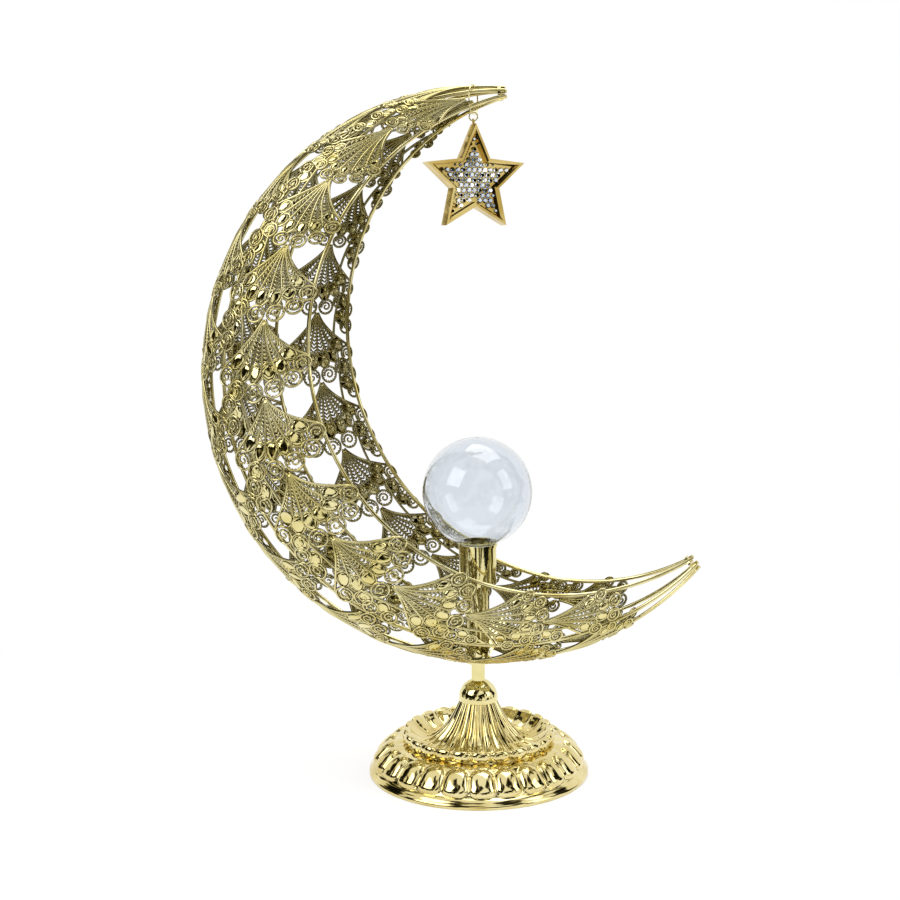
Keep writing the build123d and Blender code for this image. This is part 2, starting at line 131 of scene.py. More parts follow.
# Base: rows of (radius, height) from the rim to the top of the trumpet.
# A third value is the depth of the flutes.
LOBE_COUNT = 24
LOBE_COLUMNS = 18
ROW_STEPS = 7
RIM_ROWS = ((78.8, 0.0), (81.4, 0.0), (81.4, 2.2), (80.4, 3.2), (79.2, 4.4), (77.4, 7.0))
LOBE_ROWS = ((77.4, 7.0), (75.4, 9.2), (72.6, 12.2), (69.2, 15.8), (65.6, 19.4), (62.4, 22.4))
LOBE_BULGE = 4.0
LEDGE_ROWS = ((62.4, 22.4, 0.0), (60.2, 23.4, 0.5), (57.6, 23.7, 0.6), (54.4, 23.7, 0.3))
BEAD_ROWS = ((54.0, 23.9), (54.0, 26.0), (53.9, 28.4), (53.4, 30.6), (52.6, 31.6))
BEAD_BULGE = 2.8
DISH_ROWS = (
    (52.6, 31.6, 0.0),
    (51.2, 31.4, 0.6),
    (48.6, 28.6, 0.8),
    (45.0, 25.8, 0.8),
    (41.6, 24.1, 0.9),
)
TRUMPET_ROWS = (
    (41.6, 24.1, 0.9),
    (36.6, 25.0, 1.4),
    (31.5, 27.8, 1.7),
    (25.8, 33.2, 1.6),
    (20.6, 40.4, 1.3),
    (16.4, 48.4, 0.9),
    (13.6, 54.0, 0.7),
)
VALLEY_WIDTH = 1.6
DOME_SQUARENESS = 2.4
# Keeps rows that repeat from having no direction
LEAST_STEP = 1e-9

# Star: its frame has the same sizes as in the part's source, and the stones lie on its field
STAR_CENTRE = np.array((-1.5, 0.0, 433.03))
STAR_RADIUS = 39.0
STAR_INNER_RADIUS = 18.4
STAR_FACING = 36.0
STAR_TIPS = 5
STAR_LIP = 2.8
STAR_FIELD = 0.4
GEM_PITCH = 4.1
GEM_RADIUS = 1.98
GEM_LEAST_RADIUS = 1.0
GEM_HEIGHT = 1.8
GEM_TABLE = 0.58
GEM_SIDES = 8
GEM_TILT = 0.14
GEM_SEED = 11
# Rings of a stone: share of its radius, share of its height and turn in facets
GEM_RINGS = ((1.0, 0.0, 0.0), (1.0, 0.3, 0.0), (GEM_TABLE, 1.0, 0.5))


def unit(vector):
    """Vectors of length one along the last axis."""
    return vector / np.linalg.norm(vector, axis=-1, keepdims=True)


# Surface of the crescent
ACROSS = np.array((0.0, 1.0, 0.0))
TIP_LINE = unit(LOWER_TIP - UPPER_TIP)
OUTWARD = np.cross(ACROSS, TIP_LINE)
SECTION_CENTRE = (UPPER_TIP + LOWER_TIP) / 2 + OUTWARD * (CRESCENT_DEPTH - SECTION_RADIUS)


def turn_between(first, second):
    """Angle between vectors, in radians."""
    cross = np.linalg.norm(np.cross(first, second), axis=-1)
    return np.arctan2(cross, np.sum(first * second, axis=-1))


def arc_circle(first, middle, last):
    """Centre, start arm, unit normal and total turn of the arc through three points."""
    arm_a = first - last
    arm_b = middle - last
    normal = np.cross(arm_a, arm_b)
    square_a = np.sum(arm_a**2, axis=-1, keepdims=True)
    square_b = np.sum(arm_b**2, axis=-1, keepdims=True)
    reach = np.cross(square_a * arm_b - square_b * arm_a, normal)
    centre = last + reach / (2 * np.sum(normal**2, axis=-1, keepdims=True))
    start = first - centre
    axis = unit(np.cross(start, middle - centre))
    total = turn_between(start, middle - centre) + turn_between(middle - centre, last - centre)
    return centre, start, axis, total


def arc_point(circle, share):
    """Point at a share of the arc's length."""
    centre, start, axis, total = circle
    turn = (share * total)[..., None]
    return centre + start * np.cos(turn) + np.cross(axis, start) * np.sin(turn)


SPINE = arc_circle(UPPER_TIP, SECTION_CENTRE, LOWER_TIP)


def spine_radial(end_point):
    """Outward direction across the horn at one end of its spine."""
    return np.cross(ACROSS, unit(np.cross(SPINE[2], end_point - SPINE[0])))


UPPER_RADIAL = spine_radial(UPPER_TIP)
LOWER_RADIAL = spine_radial(LOWER_TIP)


def ring_point(centre, radial, radius, angle):
    """Point on a circle across the horn, at an angle from its outward side."""
    turn = np.radians(angle)[..., None]
    return centre + radius * (np.cos(turn) * radial + np.sin(turn) * ACROSS)


def horn_circle(angle):
    """Arc from tip to tip on the crescent's surface, at an angle round its section."""
    return arc_circle(
        ring_point(UPPER_TIP, UPPER_RADIAL, UPPER_BUNDLE_RADIUS, angle),
        ring_point(SECTION_CENTRE, OUTWARD, SECTION_RADIUS, angle),
        ring_point(LOWER_TIP, LOWER_RADIAL, LOWER_BUNDLE_RADIUS, angle),
    )


def horn_point(angle, share):
    """Point on the crescent's surface."""
    return arc_point(horn_circle(angle), share)


def horn_normal(angle, share):
    """Outward normal of the crescent's surface."""
    small_angle = 0.5
    small_share = 0.002
    across = horn_point(angle + small_angle, share) - horn_point(angle - small_angle, share)
    along = horn_point(angle, share + small_share) - horn_point(angle, share - small_share)
    normal = unit(np.cross(across, along))
    spine_point = arc_point(SPINE, share)
    outside = np.sum((horn_point(angle, share) - spine_point) * normal, axis=-1, keepdims=True)
    return normal * np.sign(outside)


# Mesh helpers
class MeshParts:
    """Vertices and faces gathered from many small forms."""

    def __init__(self):
        self.points = []
        self.painted_light_levels = []
        self.faces = []
        self.count = 0

    def add(self, points, faces, painted_light_levels=1.0):
        """Take in a form, with levels of painted light from 0, painted shade in the recesses of its
        relief, to 1 on top.
        """
        offset = self.count
        self.points.append(points)
        self.painted_light_levels.append(np.broadcast_to(painted_light_levels, len(points)))
        self.faces.extend([tuple(index + offset for index in face) for face in faces])
        self.count += len(points)

    def build(self, name, material, smooth=True):
        """Mesh object with the gathered forms, in metres."""
        mesh = bpy.data.meshes.new(name)
        mesh.from_pydata((np.concatenate(self.points) * MM).tolist(), [], self.faces)
        mesh.polygons.foreach_set("use_smooth", [smooth] * len(mesh.polygons))
        # The tone attribute carries painted shade: 0 darkens a point to the painted shade colour, 1
        # keeps the plating's own tone
        tone = mesh.attributes.new("tone", "FLOAT", "POINT")
        tone.data.foreach_set("value", np.concatenate(self.painted_light_levels))
        mesh.materials.append(material)
        piece = bpy.data.objects.new(name, mesh)
        bpy.context.scene.collection.objects.link(piece)
        return piece


RIBBON_PROFILE = np.array(((-1, 0), (-0.62, 0.75), (0, 1), (0.62, 0.75), (1, 0), (0, -0.35)))
# Painted light levels round a ribbon's section: painted shade at its foot, full tone on its crest
RIBBON_PAINTED_LIGHT = np.array((0.0, 0.75, 1.0, 0.75, 0.0, 0.75))


def tube_faces(rings, sides, closed=False):
    """Faces of a tube, with end caps unless its path is closed."""
    faces = []
    for ring in range(rings if closed else rings - 1):
        low = ring * sides
        high = (ring + 1) % rings * sides
        for side in range(sides):
            after = (side + 1) % sides
            faces.append((low + side, high + side, high + after, low + after))
    if not closed:
        faces.append(tuple(range(sides)))
        faces.append(tuple(reversed(range((rings - 1) * sides, rings * sides))))
    return faces


BEAD_SIDES = 5
BEAD_TURNS = np.linspace(0, 2 * math.pi, BEAD_SIDES, endpoint=False)
BEAD_FACES = [(k, (k + 1) % BEAD_SIDES, BEAD_SIDES) for k in range(BEAD_SIDES)]
BEAD_FACES += [((k + 1) % BEAD_SIDES, k, BEAD_SIDES + 1) for k in range(BEAD_SIDES)]
BOSS_SECTORS = 14
BOSS_LEVELS = ((1.0, -0.2), (0.97, 0.55), (0.86, 0.9), (0.45, 1.05))
# Painted light levels: each boss gets a ring of painted shade low on its side, each bead painted shade
# round its sides and beneath it
BOSS_PAINTED_LIGHT = np.repeat((0.6, 0.0, 1.0, 1.0), BOSS_SECTORS)
BEAD_PAINTED_LIGHT = np.array((0.3,) * BEAD_SIDES + (1.0, 0.0))


class Fan:
    """One stamped fan between two wires, laid out in millimetres across and along the horn.

    Flat forms are collected first. They are then placed on the crescent's surface all at once.
    """

    def __init__(self, angle_a, angle_b, start, end):
        self.middle_angle = (angle_a + angle_b) / 2
        self.half_angle = (angle_b - angle_a) / 2
        self.start = start
        self.end = end
        shares = np.linspace(start, end, ROW_SAMPLES)
        row = horn_point(np.full(ROW_SAMPLES, self.middle_angle), shares)
        self.length = np.sum(np.linalg.norm(np.diff(row, axis=0), axis=1))
        self.half_width = float(self.width_at(np.array([WIDTH_PLACE * self.length]))[0])
        self.forms = []

    def share_at(self, along):
        """Share of the horn's length at a distance from the fan's apex."""
        return self.start + (self.end - self.start) * along / self.length

    def width_at(self, along):
        """Half width of the row at a distance from the fan's apex."""
        share = self.share_at(along)
        middle = horn_point(np.full_like(share, self.middle_angle), share)
        reach = 0
        for side in (-1, 1):
            edge = horn_point(np.full_like(share, self.middle_angle + side * self.half_angle), share)
            reach = reach + np.linalg.norm(edge - middle, axis=-1)
        return reach / 2

    def ribbon(self, flat, half_width, height, lift=0.0, closed=False, polish_and_painted_shade=1.0):
        """Rounded strip that follows flat points, with painted shade along its foot, and painted shade
        over its crest as well when the given share is below one.
        """
        self.forms.append(("ribbon", flat, (half_width, height, lift, closed, polish_and_painted_shade)))

    def boss(self, centre, direction, half_length, half_width, height, tilt):
        """Low polished boss, drop shaped along a flat direction and tilted a little."""
        outline = drop_outline(centre, direction, half_length, half_width)
        flat = np.concatenate([centre + (outline - centre) * shrink for shrink, level in BOSS_LEVELS])
        levels = np.repeat([level for shrink, level in BOSS_LEVELS], BOSS_SECTORS)
        self.forms.append(("boss", flat, (levels * height + (flat - centre) @ tilt,)))

    def beads(self, flat, radius, lift=0.0):
        """Row of small raised dots."""
        self.forms.append(("beads", flat, (radius, lift)))

    def build(self, parts):
        """Place the collected forms on the crescent."""
        flat = np.concatenate([form[1] for form in self.forms])
        share = np.clip(self.share_at(flat[:, 1]), *SHARE_LIMITS)
        angle = self.middle_angle + self.half_angle * flat[:, 0] / self.width_at(flat[:, 1])
        all_points = horn_point(angle, share)
        all_normals = horn_normal(angle, share)
        builders = {"ribbon": build_ribbon, "boss": build_boss, "beads": build_beads}
        first = 0
        for kind, line, sizes in self.forms:
            last = first + len(line)
            builders[kind](parts, all_points[first:last], all_normals[first:last], *sizes)
            first = last


def build_ribbon(parts, points, normals, half_width, height, lift, closed, polish_and_painted_shade):
    """Rounded strip along points on the surface."""
    points = points + normals * (SHEET_HEIGHT + lift)
    if closed:
        tangents = unit(np.roll(points, -1, axis=0) - np.roll(points, 1, axis=0))
    else:
        tangents = unit(np.gradient(points, axis=0))
    sides = unit(np.cross(normals, tangents))
    widths = np.broadcast_to(half_width, (len(points),))
    rings = (
        points[:, None, :]
        + sides[:, None, :] * RIBBON_PROFILE[None, :, :1] * widths[:, None, None]
        + normals[:, None, :] * RIBBON_PROFILE[None, :, 1:] * height
    )
    faces = tube_faces(len(points), len(RIBBON_PROFILE), closed)
    # Painted shade along the foot of the strip, scaled down over the whole strip by the given share
    parts.add(rings.reshape(-1, 3), faces, np.tile(RIBBON_PAINTED_LIGHT * polish_and_painted_shade, len(points)))


def build_boss(parts, points, normals, heights):
    """Boss from rings of points, one ring for each level."""
    raised = points + normals * (SHEET_HEIGHT + heights)[:, None]
    parts.add(raised, tube_faces(len(BOSS_LEVELS), BOSS_SECTORS), BOSS_PAINTED_LIGHT)


def build_beads(parts, points, normals, radius, lift):
    """Small raised dots at points on the surface."""
    tangents = unit(np.gradient(points, axis=0))
    sides = np.cross(normals, tangents)
    centres = points + normals * (SHEET_HEIGHT + lift)
    along = np.cos(BEAD_TURNS)[:, None]
    across = np.sin(BEAD_TURNS)[:, None]
    for centre, normal, tangent, side in zip(centres, normals, tangents, sides):
        ring = centre + radius * (along * tangent + across * side)
        tips = np.vstack((ring, centre + normal * radius, centre - normal * radius))
        parts.add(tips, BEAD_FACES, BEAD_PAINTED_LIGHT)


def drop_outline(centre, direction, half_length, half_width):
    """Outline of a drop with its blunt end against the direction."""
    turns = np.linspace(0, 2 * math.pi, BOSS_SECTORS, endpoint=False)
    along = np.cos(turns)[:, None] * direction * half_length
    side = np.array((-direction[1], direction[0]))
    across = (np.sin(turns) * (1 - DROP_BLUNTNESS * np.cos(turns)))[:, None] * side * half_width
    return centre + along + across


def curve_between(start, bend, end, count):
    """Points on a smooth curve with one bend point."""
    share = np.linspace(0, 1, count)[:, None]
    return (1 - share) ** 2 * start + 2 * share * (1 - share) * bend + share**2 * end


def at_share(line, share):
    """Point at a share of a line's parameter."""
    places = np.linspace(0, 1, len(line))
    return np.array([np.interp(share, places, line[:, k]) for k in (0, 1)])


def fringe_point(fan, side):
    """Place on the curved lower edge of a fan, from one flank at -1 to the other at 1."""
    turn = side * math.pi / 2
    across = FRINGE_REACH * fan.half_width * math.sin(turn)
    along = fan.length * (FRINGE_FLANK + (1 - FRINGE_FLANK) * math.cos(turn) ** FRINGE_ROUND)
    return np.array((across, along))


def rib_line(fan, side):
    """Line from the apex to the lower edge, hollow along the flanks."""
    end = fringe_point(fan, side)
    apex = APEX_SHARE * np.array((side * fan.half_width, fan.length))
    return curve_between(apex, end * RIB_BEND, end, RIB_STEPS)


def line_lengths(line):
    """Distance of each point from the line's start."""
    return np.concatenate(((0.0,), np.cumsum(np.linalg.norm(np.diff(line, axis=0), axis=1))))


def at_length(line, lengths, place):
    """Point at a distance from a line's start."""
    return np.array([np.interp(place, lengths, line[:, k]) for k in (0, 1)])


def circle_line(centre, radius, count):
    """Points round a circle."""
    turns = np.linspace(0, 2 * math.pi, count, endpoint=False)
    return centre + radius * np.stack((np.cos(turns), np.sin(turns)), axis=1)


def scroll_line(centre, direction, hand, radius):
    """Spiral that comes in along a direction and curls round a centre."""
    heading = math.atan2(direction[1], direction[0])
    share = np.linspace(0, 1, SCROLL_STEPS)
    angle = heading + math.pi + hand * (-0.5 * math.pi + 2 * math.pi * SCROLL_TURNS * share)
    reach = radius * (1 - SCROLL_CLOSE * share)
    return centre + np.stack((np.cos(angle), np.sin(angle)), axis=1) * reach[:, None]


def draw_scroll(fan, centre, direction, hand, radius):
    """Ring with a beaded border round a spiral."""
    ring = circle_line(centre, radius * SCROLL_RING, RING_STEPS)
    fan.ribbon(ring, SCROLL_HALF_WIDTH, SCROLL_HEIGHT, SCROLL_LIFT, closed=True)
    fan.beads(circle_line(centre, radius * BEAD_RING, BEAD_COUNT), BEAD_RADIUS, SCROLL_LIFT)
    spiral = scroll_line(centre, direction, hand, radius * SCROLL_START)
    taper = np.linspace(1.0, SCROLL_TAPER, len(spiral)) * SCROLL_HALF_WIDTH
    fan.ribbon(spiral, taper, SCROLL_HEIGHT, SCROLL_LIFT)


tilts = np.random.default_rng(BOSS_SEED)


def draw_boss(fan, centre, direction, scroll):
    """Boss with a raised border, sized after the scroll beside it."""
    half_length = BOSS_HALF_LENGTH * scroll
    half_width = BOSS_HALF_WIDTH * scroll
    tilt = tilts.uniform(-BOSS_TILT, BOSS_TILT, 2)
    fan.boss(centre, direction, half_length, half_width, BOSS_HEIGHT, tilt)
    border = drop_outline(centre, direction, half_length * BOSS_BORDER, half_width * BOSS_BORDER)
    fan.ribbon(border, RUNG_HALF_WIDTH, RUNG_HEIGHT, closed=True)


def draw_unit(fan, left, right, scroll, hand):
    """Ladder of slanted rungs between two ribs, then a boss and a scroll.

    Returns the share of the ribs where the ladder ends.
    """
    middle = (left + right) / 2
    lengths = line_lengths(middle)
    total = lengths[-1]
    boss_half = BOSS_HALF_LENGTH * scroll
    scroll_place = total - scroll + SCROLL_OVERHANG
    boss_place = scroll_place - scroll - boss_half * BOSS_STEP
    ladder_end = np.interp(boss_place - boss_half, lengths, np.linspace(0, 1, len(middle)))
    for share in np.arange(LADDER_START, ladder_end, RUNG_PITCH / total):
        ends = [at_share(rib, share) for rib in (left, right)]
        slant = RUNG_SLANT * np.linalg.norm(ends[1] - ends[0]) / total
        peak = at_share(middle, share + slant)
        # Rungs are drawn with painted shade over their crests
        fan.ribbon(np.array((ends[0], peak, ends[1])), RUNG_HALF_WIDTH, RUNG_HEIGHT, polish_and_painted_shade=RUNG_PAINTED_LIGHT)
    boss = at_length(middle, lengths, boss_place)
    tip = at_length(middle, lengths, scroll_place)
    draw_boss(fan, boss, unit(tip - boss), scroll)
    draw_scroll(fan, tip, unit(tip - boss), hand, scroll)
    return ladder_end


def draw_flank(fan, side, scroll):
    """Bosses and scrolls between one flank and its wire, on a stem that comes off the flank."""
    size = np.array((side * fan.half_width, fan.length))
    for place in FLANK_PLACES:
        boss = size * (FLANK_REACH, place)
        tip = boss + size * FLANK_STEP
        draw_boss(fan, boss, unit(tip - boss), scroll)
        draw_scroll(fan, tip, unit(tip - boss), side, scroll)
    stem = curve_between(*(size * point for point in FLANK_STEM), STEM_STEPS)
    fan.ribbon(stem, SIDE_RIB_HALF_WIDTH, SIDE_RIB_HEIGHT)


def filigree_fan(parts, fan, flank):
    """Ladder bands spread from the apex, each with a boss and a scroll, and more along one flank."""
    units = next(count for least, count in UNITS_BY_HALF_WIDTH if fan.half_width > least)
    scroll = min(SCROLL_SHARE * FULL_UNITS / units, NARROW_SCROLL_SHARE) * fan.half_width
    ribs = [rib_line(fan, 2 * number / units - 1) for number in range(units + 1)]
    for number in range(units):
        hand = 1 if number >= units / 2 else -1
        ladder_end = draw_unit(fan, ribs[number], ribs[number + 1], scroll, hand)
    rib_end = int((ladder_end + 1) / 2 * RIB_STEPS)
    for rib in ribs[1:-1]:
        fan.ribbon(rib[1:rib_end:2], RIB_HALF_WIDTH, RIB_HEIGHT)
    for rib in (ribs[0], ribs[-1]):
        fan.ribbon(rib[::2], SIDE_RIB_HALF_WIDTH, SIDE_RIB_HEIGHT)
    if fan.half_width > FLANK_LEAST_HALF_WIDTH:
        draw_flank(fan, flank, scroll)
    fan.build(parts)


# Materials: scales are in cells per metre, and heights of bumps in metres
CLOUD_SCALE = 38.0
CLOUD_RANGE = (0.35, 0.65)
ROUGHNESS_RANGE = (0.6, 1.5)
PLATING_BUMP = 0.0003
GLASS_CLOUD_SCALE = 30.0
GLASS_IOR = 1.45
GLASS_MOST_ROUGHNESS = 0.02
FIBRE_SCALE = 900.0
FELT_BUMP = 0.0005


def new_material(name):
    """Material with its nodes and links at hand."""
    material = bpy.data.materials.new(name)
    material.use_nodes = True
    tree = material.node_tree
    shader = tree.nodes["Principled BSDF"]
    return material, tree, shader


def add_node(tree, kind, **inputs):
    """Node with its input values set by name."""
    node = tree.nodes.new(kind)
    for name, value in inputs.items():
        node.inputs[name].default_value = value
    return node


def set_range(node, given, made):
    """Set a range node to turn one range of values into another."""
    for name, value in zip(("From Min", "From Max", "To Min", "To Max"), (*given, *made)):
        node.inputs[name].default_value = value


def plated_material(name, light, deep, roughness, grain, painted_shade_colour=None):
    """Polished plating of varied tone and polish, with painted shade, a darker colour, in the recesses
    of its relief.
    """
    material, tree, shader = new_material(name)
    place = tree.nodes.new("ShaderNodeTexCoord")
    cloud = add_node(tree, "ShaderNodeTexNoise", Scale=CLOUD_SCALE, Detail=3.0)
    tone = tree.nodes.new("ShaderNodeValToRGB")
    for stop, position, shade in zip(tone.color_ramp.elements, CLOUD_RANGE, (deep, light)):
        stop.position = position
        stop.color = (*shade, 1)
    fine = add_node(tree, "ShaderNodeTexNoise", Scale=grain, Detail=2.0)
    polish_and_painted_shade = tree.nodes.new("ShaderNodeMapRange")
    set_range(polish_and_painted_shade, (0.0, 1.0), [roughness * share for share in ROUGHNESS_RANGE])
    bump = add_node(tree, "ShaderNodeBump", Strength=0.05, Distance=PLATING_BUMP)
    tree.links.new(place.outputs["Object"], cloud.inputs["Vector"])
    tree.links.new(place.outputs["Object"], fine.inputs["Vector"])
    tree.links.new(cloud.outputs["Fac"], tone.inputs["Fac"])
    colour = tone.outputs["Color"]
    if painted_shade_colour:
        # Painted shade: the tone attribute mixes the colour towards the painted shade colour in recesses
        relief = tree.nodes.new("ShaderNodeAttribute")
        relief.attribute_name = "tone"
        shade = tree.nodes.new("ShaderNodeMix")
        shade.data_type = "RGBA"
        shade.inputs["A"].default_value = (*painted_shade_colour, 1)
        tree.links.new(relief.outputs["Fac"], shade.inputs["Factor"])
        tree.links.new(colour, shade.inputs["B"])
        colour = shade.outputs["Result"]
    tree.links.new(colour, shader.inputs["Base Color"])
    tree.links.new(fine.outputs["Fac"], polish_and_painted_shade.inputs["Value"])
    tree.links.new(polish_and_painted_shade.outputs["Result"], shader.inputs["Roughness"])
    tree.links.new(fine.outputs["Fac"], bump.inputs["Height"])
    tree.links.new(bump.outputs["Normal"], shader.inputs["Normal"])
    shader.inputs["Metallic"].default_value = 1.0
    return material


def glass_material(name, tint):
    """Clear glass with a faint variation of its polish."""
    material, tree, shader = new_material(name)
    place = tree.nodes.new("ShaderNodeTexCoord")
    cloud = add_node(tree, "ShaderNodeTexNoise", Scale=GLASS_CLOUD_SCALE, Detail=2.0)
    polish_and_painted_shade = tree.nodes.new("ShaderNodeMapRange")
    set_range(polish_and_painted_shade, (0.0, 1.0), (0.0, GLASS_MOST_ROUGHNESS))
    tree.links.new(place.outputs["Object"], cloud.inputs["Vector"])
    tree.links.new(cloud.outputs["Fac"], polish_and_painted_shade.inputs["Value"])
    tree.links.new(polish_and_painted_shade.outputs["Result"], shader.inputs["Roughness"])
    shader.inputs["Base Color"].default_value = (*tint, 1)
    shader.inputs["Transmission Weight"].default_value = 1.0
    shader.inputs["IOR"].default_value = GLASS_IOR
    return material


def felt_material():
    """Dark felt with a fibrous nap."""
    material, tree, shader = new_material("felt")
    place = tree.nodes.new("ShaderNodeTexCoord")
    fibre = add_node(tree, "ShaderNodeTexNoise", Scale=FIBRE_SCALE, Detail=6.0)
    tone = tree.nodes.new("ShaderNodeValToRGB")
    for stop, shade in zip(tone.color_ramp.elements, (FELT_BLACK, FELT_GREY)):
        stop.color = (*shade, 1)
    bump = add_node(tree, "ShaderNodeBump", Strength=0.6, Distance=FELT_BUMP)
    tree.links.new(place.outputs["Object"], fibre.inputs["Vector"])
    tree.links.new(fibre.outputs["Fac"], tone.inputs["Fac"])
    tree.links.new(fibre.outputs["Fac"], bump.inputs["Height"])
    tree.links.new(tone.outputs["Color"], shader.inputs["Base Color"])
    tree.links.new(bump.outputs["Normal"], shader.inputs["Normal"])
    shader.inputs["Roughness"].default_value = 0.95
    return material


LEMON = (0.86, 0.78, 0.43)
DEEP_LEMON = (0.72, 0.62, 0.24)
WARM_LEMON = (0.84, 0.73, 0.38)
DEEP_WARM_LEMON = (0.67, 0.54, 0.20)
AMBER = (0.71, 0.55, 0.21)
DEEP_AMBER = (0.50, 0.35, 0.09)
DEEP_WIRE = (0.48, 0.40, 0.14)
# Painted shade in the recesses of the filigree
PAINTED_SHADE_GOLD = (0.02, 0.016, 0.005)
STEEL = (0.62, 0.62, 0.62)
DEEP_STEEL = (0.5, 0.5, 0.5)
GLASS_TINT = (0.84, 0.87, 0.905)
STONE = (0.93, 0.96, 1.0)
DEEP_STONE = (0.55, 0.62, 0.74)
FELT_BLACK = (0.012, 0.012, 0.013)
FELT_GREY = (0.06, 0.058, 0.055)
wire_gold = plated_material("wire_gold", LEMON, DEEP_WIRE, roughness=0.06, grain=900.0)
# The filigree's plating carries painted shade in its recesses
filigree_gold_painted_shade = plated_material(
    "filigree_gold_painted_shade", LEMON, DEEP_LEMON, roughness=0.06, grain=1400.0, painted_shade_colour=PAINTED_SHADE_GOLD
)
polished_gold = plated_material("polished_gold", LEMON, DEEP_LEMON, roughness=0.05, grain=500.0)
base_gold = plated_material("base_gold", WARM_LEMON, DEEP_WARM_LEMON, roughness=0.07, grain=350.0)
star_gold = plated_material("star_gold", AMBER, DEEP_AMBER, roughness=0.09, grain=900.0)
steel = plated_material("plain_steel", STEEL, DEEP_STEEL, roughness=0.3, grain=700.0)
clear_glass = glass_material("clear_glass", GLASS_TINT)
# Stones with a foil back mirror their surroundings as plating does
rhinestone = plated_material("rhinestone", STONE, DEEP_STONE, roughness=0.04, grain=260.0)
felt = felt_material()

SLOT_MATERIALS = {
    "gold_wire": wire_gold,
    "gold_filigree": filigree_gold_painted_shade,
    "gold_polished": polished_gold,
    "gold_base": base_gold,
    "gold_star": star_gold,
    "rhinestone": rhinestone,
    "clear_glass": clear_glass,
    "plain_steel": steel,
    "dark_felt": felt,
}
for entry in frame["record"]["subparts"]:
    node = nodes[entry["node"]]
    node.data.materials.clear()
    node.data.materials.append(SLOT_MATERIALS[entry["material_slot"]])


# Filigree fans in place of the plain ones
def fan_places(angle, count):
    """Start and end of each fan of a row, as shares of the line along the row's middle."""
    circle = horn_circle(np.array([angle]))
    row_length = float(np.linalg.norm(circle[1]) * circle[3][0])
    first = UPPER_BARE_LENGTH / row_length
    pitch = (1 - LOWER_BARE_LENGTH / row_length - first) / count
    return [(first + number * pitch, first + (number + 1) * pitch) for number in range(count)]


def finish_fan(parts, node_name):
    """Filigree object that stands for a CAD fan."""
    piece = parts.build("filigree_" + node_name, filigree_gold_painted_shade)
    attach(piece, "stand")
    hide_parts(node_name)


for number, (start, end) in enumerate(fan_places((RIM_ANGLE + SIDE_ANGLE) / 2, SIDE_FAN_COUNT), 1):
    for row_name, hand in (("front", -1), ("back", 1)):
        fan_parts = MeshParts()
        filigree_fan(fan_parts, Fan(hand * RIM_ANGLE, hand * SIDE_ANGLE, start, end), -hand)
        finish_fan(fan_parts, f"side_fan_{row_name}_{number:02d}")
for number, (start, end) in enumerate(fan_places(SIDE_ANGLE / 2, OUTER_FAN_COUNT), 1):
    fan_parts = MeshParts()
    for hand in (-1, 1):
        filigree_fan(fan_parts, Fan(hand * SIDE_ANGLE, 0.0, start, end), -hand)
    finish_fan(fan_parts, f"outer_fans_{number:02d}")


# Cast base with lobes, beads and flutes
def smooth_rows(rows, steps):
    """Rows on a smooth curve through the given ones."""
    given = np.array(rows)
    ends = np.vstack((2 * given[0] - given[1], given, 2 * given[-1] - given[-2]))
    share = np.linspace(0, 1, steps, endpoint=False)[:, None]
    made = []
    for before, first, second, after in zip(ends, ends[1:], ends[2:], ends[3:]):
        bend = (2 * before - 5 * first + 4 * second - after) * share**2
        twist = (3 * first - before - 3 * second + after) * share**3
        made.append(first + 0.5 * ((second - before) * share + bend + twist))
    return np.vstack(made + [given[-1:]])


# Place of each column across its sector: 0 on the crest and 1 in the valley
HALF_SECTOR = LOBE_COLUMNS / 2
FROM_CREST = np.abs((np.arange(LOBE_COLUMNS) + HALF_SECTOR) % LOBE_COLUMNS / HALF_SECTOR - 1)


def dome_rows(rows, bulge):
    """Rows of a skirt, and how far a round dome in each sector stands out from it."""
    line = smooth_rows(rows, ROW_STEPS)
    along = np.linspace(-1, 1, len(line))[:, None]
    fullness = 1 - FROM_CREST**DOME_SQUARENESS - np.abs(along) ** DOME_SQUARENESS
    return line, bulge * np.sqrt(np.clip(fullness, 0, 1))


def flute_rows(rows):
    """Rows of a fluted surface, and how far each groove lies behind its crests."""
    line = smooth_rows(rows, ROW_STEPS)
    groove = 0.5 - 0.5 * np.cos(math.pi * FROM_CREST**VALLEY_WIDTH)
    return line[:, :2], -line[:, 2:] * groove


def base_casting():
    """Surface of revolution with lobes, beads and flutes in each of its sectors."""
    rim = np.array(RIM_ROWS)
    groups = [
        (rim, np.zeros((len(rim), LOBE_COLUMNS))),
        dome_rows(LOBE_ROWS, LOBE_BULGE),
        flute_rows(LEDGE_ROWS),
        dome_rows(BEAD_ROWS, BEAD_BULGE),
        flute_rows(DISH_ROWS),
        flute_rows(TRUMPET_ROWS),
    ]
    line = np.vstack([group[0] for group in groups])
    relief = np.tile(np.vstack([group[1] for group in groups]), LOBE_COUNT)
    tangent = unit(np.gradient(line, axis=0) + LEAST_STEP)
    columns = LOBE_COUNT * LOBE_COLUMNS
    turn = np.arange(columns) * 2 * math.pi / columns
    radius = line[:, :1] + tangent[:, 1:] * relief
    height = line[:, 1:] - tangent[:, :1] * relief
    points = np.stack((radius * np.cos(turn), radius * np.sin(turn), height), axis=-1)
    faces = []
    for row in range(len(line) - 1):
        low = row * columns
        high = low + columns
        for column in range(columns):
            after = (column + 1) % columns
            faces.append((low + column, low + after, high + after, high + column))
    parts = MeshParts()
    parts.add(points.reshape(-1, 3), faces)
    piece = parts.build("base_casting", base_gold)
    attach(piece, "stand")
    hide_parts("base_shell", "base_trumpet")


base_casting()


